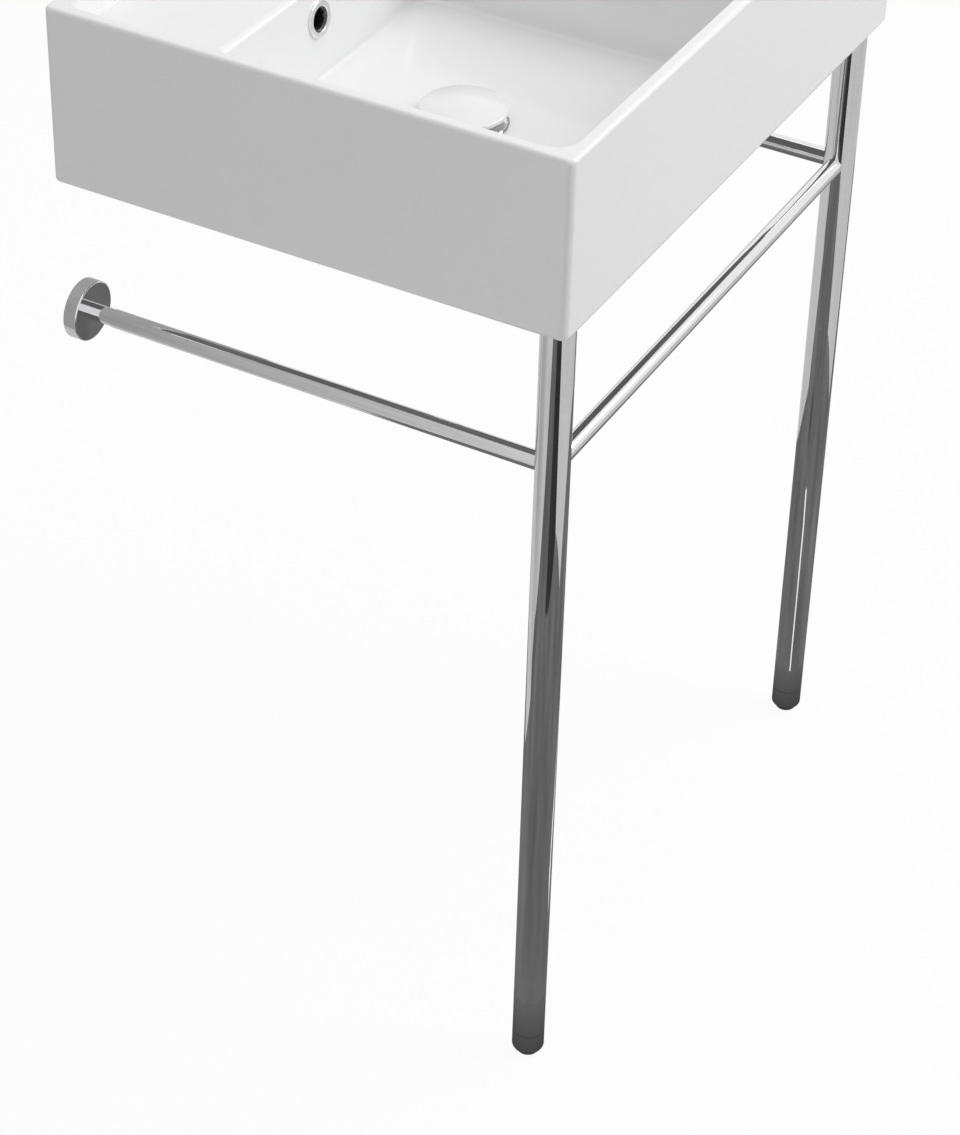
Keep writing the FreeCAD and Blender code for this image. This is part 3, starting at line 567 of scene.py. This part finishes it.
# %% Spring
def coil(name, low, high, wire_r, turns, per_turn=40, around=12):
    """A tube along a helix in a node's box: the end turns rise by one wire, the others share the rest."""
    centre, coil_r = (low + high) / 2, (high.x - low.x) / 2 - wire_r
    first, last = low.z + wire_r, high.z - wire_r
    turn = np.linspace(0, turns, turns * per_turn + 1)
    rise = np.interp(turn, (0, 1, turns - 1, turns), (first, first + 2 * wire_r, last - 2 * wire_r, last))
    angle = 2 * np.pi * turn
    outward = np.stack([np.cos(angle), np.sin(angle), 0 * angle], axis=1)
    line = np.stack([centre.x + coil_r * outward[:, 0], centre.y + coil_r * outward[:, 1], rise], axis=1)
    way = np.gradient(line, axis=0)
    way /= np.linalg.norm(way, axis=1, keepdims=True)
    across = np.cross(way, outward)
    spoke = np.linspace(0, 2 * np.pi, around, endpoint=False)[:, None]
    grid = line[:, None] + wire_r * (np.cos(spoke) * outward[:, None] + np.sin(spoke) * across[:, None])
    return ring_surface(name, grid, wire)


spring_low, spring_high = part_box("click_spring")
spring = coil("click_spring_coil", spring_low, spring_high, wire_r=0.0004, turns=6)
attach(spring, "console")
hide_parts("click_spring")
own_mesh(spring)

# %% [markdown]
# ## The floor and the world
#
# The photograph has a plain white ground. A glowing white sheet would be simpler, but it would light the sink
# from below and lose the soft shadows of the feet, so the floor is a large sheet with a diffuse surface. What
# the camera and the chrome see of it is mixed with plain white, which the Light Path node allows without
# shining more light on the sink. The world works the same way: it is nearly white where it is seen, and half
# as strong as a light.

# %% Floor and world
def seen_directly(tree):
    """1 for what the camera, a mirror or a clear surface sees, and 0 for what only lights other things."""
    path = node(tree, "ShaderNodeLightPath")
    either = math_node(tree, "MAXIMUM", path.outputs["Is Camera Ray"], path.outputs["Is Glossy Ray"])
    return math_node(tree, "MAXIMUM", either, path.outputs["Is Transmission Ray"])


def lay_floor(size=14.0, white_share=0.93):
    """A square sheet at the feet's level: diffuse paint, with a share of plain white where it is seen."""
    half = size / 2
    corners = [(-half, -half, floor_z), (half, -half, floor_z), (half, half, floor_z), (-half, half, floor_z)]
    mesh = bpy.data.meshes.new("floor")
    mesh.from_pydata(corners, [], [(0, 1, 2, 3)])
    sheet = bpy.data.objects.new("floor", mesh)
    bpy.context.collection.objects.link(sheet)
    material, tree, output = new_material("white floor")
    paint = node(tree, "ShaderNodeBsdfDiffuse", {"Color": (0.88, 0.88, 0.88, 1.0)})
    white = node(tree, "ShaderNodeEmission", {"Color": (1.0, 1.0, 1.0, 1.0), "Strength": 1.0})
    share = math_node(tree, "MULTIPLY", seen_directly(tree), white_share)
    mix = node(tree, "ShaderNodeMixShader", {0: share, 1: paint.outputs[0], 2: white.outputs[0]})
    tree.links.new(mix.outputs[0], output.inputs["Surface"])
    mesh.materials.append(material)
    return sheet


def light_world(as_light=0.50, as_seen=0.98):
    """A plain white world with one strength as a light and another where it is seen."""
    world = bpy.data.worlds.new("studio")
    bpy.context.scene.world = world
    world.use_nodes = True
    tree = world.node_tree
    tree.nodes.clear()
    strength = ramp(tree, seen_directly(tree), 0.0, 1.0, as_light, as_seen)
    back = node(tree, "ShaderNodeBackground", {"Color": (1.0, 1.0, 1.0, 1.0), "Strength": strength})
    output = node(tree, "ShaderNodeOutputWorld")
    tree.links.new(back.outputs[0], output.inputs["Surface"])


floor_sheet = lay_floor()
light_world()
print("floor:", floor_sheet.name, "world:", bpy.context.scene.world.name)

# %% [markdown]
# ## The lights
#
# Small lamps would draw hard spots on the glaze, and large soft boxes give a product its smooth shading. The
# key hangs in front on the right, so the front of the basin is brighter than its left side, as in the
# photograph. A weaker one straight above lights the bowl and the ledge.

# %% Lamps
def softbox(name, place, target, size, power):
    """A rectangular area lamp at a place, turned to face its target and hidden from the camera."""
    lamp = bpy.data.lights.new(name, "AREA")
    lamp.shape = "RECTANGLE"
    lamp.size, lamp.size_y = size
    lamp.energy = power
    holder = bpy.data.objects.new(name, lamp)
    bpy.context.collection.objects.link(holder)
    aim = Vector(target) - Vector(place)
    holder.matrix_world = Matrix.Translation(place) @ aim.to_track_quat("-Z", "Y").to_matrix().to_4x4()
    holder.visible_camera = False


sink_middle = (0.0, -0.25, 0.0)
softbox("key", place=(1.4, -2.2, 1.8), target=sink_middle, size=(2.0, 2.0), power=48.0)
softbox("top", place=(0.0, -0.3, 2.2), target=sink_middle, size=(2.0, 1.6), power=12.5)

# %% [markdown]
# ## Cards for the chrome
#
# A mirror in an all-white room is invisible. Photographers lay grey and black cards round chrome, out of the
# picture, so that its round shapes show as soft bands. The bands could be painted on the chrome, but then
# they wouldn't move with the view. Here each card is a flat outline that only mirror-like rays can see: it
# gives no light, no shadow and no picture of its own.

# %% One card
def card_material(name, level, uneven, fade):
    """A glow round a level, more or less by the share uneven in soft clouds.

    fade, if given, is a centre, a reach and the level at that reach.
    """
    material, tree, output = new_material(name)
    place = node(tree, "ShaderNodeTexCoord").outputs["Object"]
    cloud = node(tree, "ShaderNodeTexNoise", {"Vector": place, "Scale": 4.0, "Detail": 3.0}).outputs["Fac"]
    strength = ramp(tree, cloud, 0.3, 0.7, level * (1 - uneven), level * (1 + uneven))
    if fade:
        centre, reach, last = fade
        apart = node(tree, "ShaderNodeVectorMath", {0: place, 1: centre}, operation="DISTANCE")
        gain = ramp(tree, apart.outputs["Value"], 0.1 * reach, reach, 1.0, last / level)
        strength = math_node(tree, "MULTIPLY", strength, gain)
    glow = node(tree, "ShaderNodeEmission", {"Color": (1.0, 1.0, 1.0, 1.0), "Strength": strength})
    tree.links.new(glow.outputs[0], output.inputs["Surface"])
    return material


def card(name, outline, level, height=0.0, uneven=0.25, fade=None):
    """A flat card from its outline, seen only in mirrors; (x, y) points lie at a height over the floor."""
    corners = [(point[0], point[1], point[2] if len(point) > 2 else floor_z + height) for point in outline]
    mesh = bpy.data.meshes.new(name)
    mesh.from_pydata(corners, [], [tuple(range(len(corners)))])
    mesh.materials.append(card_material(name, level, uneven, fade))
    sheet = bpy.data.objects.new(name, mesh)
    bpy.context.collection.objects.link(sheet)
    sheet.visible_camera = False
    sheet.visible_diffuse = False
    sheet.visible_transmission = False
    sheet.visible_shadow = False
    print("card:", name, "corners", len(corners))


# %% [markdown]
# ## Outlines of the cards
#
# A card is round, a box, a strip that runs away from a leg, or a narrow fan. Each outline is a short list of
# points, so a card's edge can be put exactly where a leg's band has to end.

# %% Outlines
def round_outline(centre, radius, count=48):
    """Points round a circle."""
    turns = [2 * math.pi * i / count for i in range(count)]
    return [(centre[0] + radius * math.cos(a), centre[1] + radius * math.sin(a)) for a in turns]


def box_outline(x0, x1, y0, y1):
    """The corners of a level rectangle, anticlockwise."""
    return [(x0, y0), (x1, y0), (x1, y1), (x0, y1)]


def upright_outline(x0, x1, y, z0, z1):
    """The corners of an upright rectangle at one distance from the wall."""
    return [(x0, y, z0), (x1, y, z0), (x1, y, z1), (x0, y, z1)]


def strip_outline(start, heading, length, left, right):
    """A strip that runs from start along a heading, left and right of its line by the widths given."""
    along = Vector((math.cos(heading), math.sin(heading)))
    aside = Vector((-along.y, along.x))
    start = Vector(start)
    ends = (start - right * aside, start + along * length - right * aside,
            start + along * length + left * aside, start + left * aside)
    return [tuple(point) for point in ends]


def ray_outline(centre, heading, stations, spread):
    """A fan from a leg: each station is a distance and a turn from the heading, in degrees like spread."""
    edges = []
    for side, run in ((-spread, stations), (spread, reversed(stations))):
        for distance, turn in run:
            towards = heading + math.radians(turn + side)
            edges.append((centre.x + distance * math.cos(towards), centre.y + distance * math.sin(towards)))
    return edges


# %% [markdown]
# ## Cards under the legs
#
# A leg is a long upright mirror. It shows the far floor in its upper part and the near floor in its lower
# part. The grey ground is what it mirrors far away, and the darker mats are what it mirrors close by, so
# each leg is light above and dark below. Strips that run towards the camera give it a dark stripe. The cards
# lie one over the other, a fifth of a millimetre or more apart, so that none that overlap share a level.

# %% Floor cards
near_leg, far_leg = leg_axes["left"].xy, leg_axes["right"].xy
to_camera, to_right = Vector((-0.882, -0.471)), Vector((0.471, -0.882))
heading_out = math.atan2(to_camera.y, to_camera.x)
mat_r, mat_level, strip_length, ground_half = 0.60, 0.15, 3.0, 4.0
ground = box_outline(-ground_half, ground_half, -ground_half, ground_half)
near_mat = round_outline(near_leg + 0.17 * to_camera + 0.08 * to_right, mat_r)
far_mat = round_outline(far_leg + 0.126 * to_camera + 0.03 * to_right, mat_r)
right_mat = box_outline(far_leg.x, far_leg.x + 1.1, far_leg.y - 0.36, far_leg.y + 0.13)
grey_strip = strip_outline(near_leg, heading_out, strip_length, left=0.0, right=0.62)
black_strip = strip_outline(near_leg + 0.64 * to_camera, heading_out, strip_length, left=0.45, right=0.10)
card("grey_ground", ground, level=0.60, height=0.0002, uneven=0.06)
card("near_mat", near_mat, level=mat_level, height=0.0006)
card("far_mat", far_mat, level=mat_level, height=0.0008)
card("right_mat", right_mat, level=0.17, height=0.0010)
card("camera_side_grey", grey_strip, level=0.13, height=0.0004)
card("camera_side_black", black_strip, level=0.035, height=0.0012)

# %% [markdown]
# ## Cards by the wall and under the basin
#
# A wall would show in the left rosette and in the side rail, and the picture has none. Grey cards a little
# behind the wall's face tone both down, and the wall card grows lighter away from the rosette. A shade just
# under the basin does the same for the tops of the rails, which would otherwise mirror bright ceramic.

# %% Upright cards and the shade
rosette_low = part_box("left_rosette_cover")[0]
rosette_margin, behind_wall, wall_level = 0.06, 0.06, 0.36
inset, shade_z = 0.012, basin_low.z - 0.0005
card_edge = rosette_low.x - rosette_margin
card_foot = rosette_low.z - rosette_margin
card_top = basin_high.z - 0.01
wall_part = upright_outline(-3.0, card_edge, behind_wall, floor_z + 0.002, 1.1)
rosette_part = upright_outline(card_edge, 0.2, behind_wall, card_foot, card_top)
card("wall_card", wall_part, level=wall_level, uneven=0.1, fade=(rosette_low, 1.2, 0.68))
card("rosette_card", rosette_part, level=wall_level, uneven=0.2)
shade = [(x, y, shade_z) for x, y in box_outline(basin_low.x + inset, basin_high.x - inset,
                                                 basin_low.y + inset, basin_high.y - inset)]
card("under_basin_shade", shade, level=0.14, uneven=0.3)

# %% [markdown]
# ## The light line and the dark feet
#
# A narrow white fan draws the thin light line down the far leg. Small dark discs round the feet, which grow
# lighter towards their rims, let each leg end darker without a hard step.

# %% Streak and foot shades
streak = [(0.08, 2), (0.20, 0), (0.33, -3), (0.40, -10)]
fan = ray_outline(far_leg, heading_out, streak, spread=4.5)
card("far_streak", fan, level=1.0, height=0.0018, uneven=0.02)
disc_r = 0.08
for name, leg in (("near", near_leg), ("far", far_leg)):
    foot = (leg.x, leg.y, floor_z)
    card(name + "_foot_shade", round_outline(leg, disc_r), level=0.05, height=0.0014, uneven=0.1,
         fade=(foot, disc_r, 0.14))

# %% [markdown]
# ## The camera
#
# The camera stands where the photographer stood: left of the sink, above it and looking down. It could be
# aimed at a point, but its direction comes from the vanishing points of the rails and the legs, which give
# an azimuth, an elevation and a slight roll. A small vertical shift keeps the framing of the photograph.

# %% Camera
def turned_camera(place, azimuth, elevation, roll, lens, shift_y):
    """Looks along the azimuth from +Y and down by the elevation; its right and up turn by the roll."""
    az, el, r = (math.radians(v) for v in (azimuth, elevation, roll))
    ahead = Vector((-math.sin(az) * math.cos(el), math.cos(az) * math.cos(el), -math.sin(el)))
    level_right = ahead.cross(Vector((0, 0, 1))).normalized()
    level_up = level_right.cross(ahead)
    right = math.cos(r) * level_right + math.sin(r) * level_up
    up = math.cos(r) * level_up - math.sin(r) * level_right
    data = bpy.data.cameras.new("camera")
    data.sensor_width = 36.0
    data.lens = lens
    data.shift_y = shift_y
    data.clip_end = 50.0
    holder = bpy.data.objects.new("camera", data)
    bpy.context.collection.objects.link(holder)
    turn = Matrix((right, up, -ahead)).transposed().to_4x4()
    holder.matrix_world = Matrix.Translation(place) @ turn
    bpy.context.scene.camera = holder
    return holder


camera = turned_camera(place=(-2.0567, -1.3260, 1.2107), azimuth=-61.886, elevation=34.739,
                       roll=1.545, lens=101.37, shift_y=-0.1251)
bpy.context.scene.view_settings.view_transform = "Standard"
print("camera at", [round(v, 3) for v in camera.matrix_world.translation])
